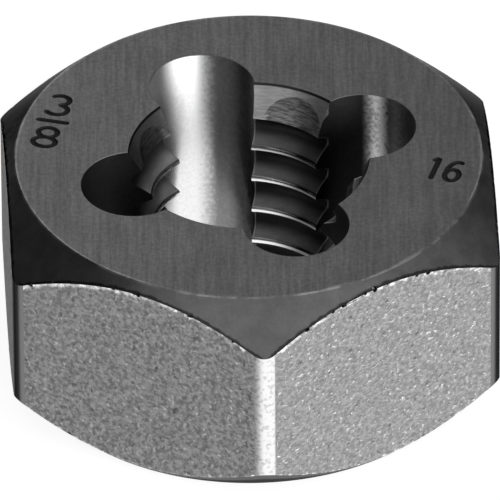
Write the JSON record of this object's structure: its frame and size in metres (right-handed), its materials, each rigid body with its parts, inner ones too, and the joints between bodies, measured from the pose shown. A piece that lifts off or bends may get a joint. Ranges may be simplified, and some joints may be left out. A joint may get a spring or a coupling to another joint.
{
  "type": "hex rethreading die",
  "caption": "Hexagonal rethreading die with a right-hand internal thread, chip flutes that open into it, countersunk leads and turned ends, driven by a wrench to clean a bolt's thread.",
  "frame": {"origin": "centre of the lower face", "axes": "+Z along the thread, up from the lower face; one corner of the hexagon points along -Y, and two flats face +X and -X"},
  "size_m": [0.0198, 0.0226, 0.0095],
  "materials": {
    "die_steel": "ground faces, turned cones, grit-blasted flats"
  },
  "bodies": {
    "root": {"hex_die": "die_steel"}
  },
  "joints": []
}
